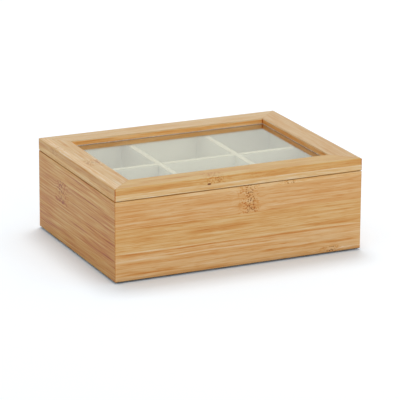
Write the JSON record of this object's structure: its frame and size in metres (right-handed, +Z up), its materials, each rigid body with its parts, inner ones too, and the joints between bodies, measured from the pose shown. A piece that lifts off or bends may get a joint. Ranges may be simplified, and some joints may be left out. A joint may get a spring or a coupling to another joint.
{
  "type": "tea bag organizer box",
  "caption": "Low bamboo storage box with a hinged lid that frames a glass pane, over open compartments for tea bags.",
  "frame": {"origin": "middle of the box, on the plane that its pads stand on", "axes": "+X along the front from left to right, +Y from the front to the hinged back, +Z up"},
  "size_m": [0.215, 0.161, 0.077],
  "materials": {
    "wall_bamboo": "side-pressed bamboo, sanded and clear lacquered to a satin finish",
    "lid_bamboo": "side-pressed bamboo, sanded and clear lacquered to a satin finish",
    "painted_board": "fibreboard with a matt off-white paint",
    "pad_felt": "dark grey pressed felt, self-adhesive",
    "glass": "clear float glass, very slightly green",
    "hinge_brass": "plain brass, lightly brushed"
  },
  "bodies": {
    "box": {"front_panel": "wall_bamboo", "back_panel": "wall_bamboo", "left_panel": "wall_bamboo", "right_panel": "wall_bamboo", "bottom_panel": "painted_board", "corner_pads": "pad_felt", "lining_front": "painted_board", "lining_back": "painted_board", "lining_left": "painted_board", "lining_right": "painted_board", "long_divider": "painted_board", "cross_divider_left": "painted_board", "cross_divider_right": "painted_board", "hinge_left_box_leaf": "hinge_brass", "hinge_left_pin": "hinge_brass", "hinge_right_box_leaf": "hinge_brass", "hinge_right_pin": "hinge_brass", "hinge_box_screws": "hinge_brass"},
    "lid": {"lid_front_rail": "lid_bamboo", "lid_back_rail": "lid_bamboo", "lid_left_rail": "lid_bamboo", "lid_right_rail": "lid_bamboo", "glass_pane": "glass", "hinge_left_lid_leaf": "hinge_brass", "hinge_right_lid_leaf": "hinge_brass", "hinge_lid_screws": "hinge_brass"}
  },
  "joints": [
    {"name": "lid_hinge", "type": "hinge", "parent": "box", "child": "lid", "pos_m": [0, 0.07955, 0.0666], "axis": [-1, 0, 0], "range_deg": [0, 95]}
  ]
}
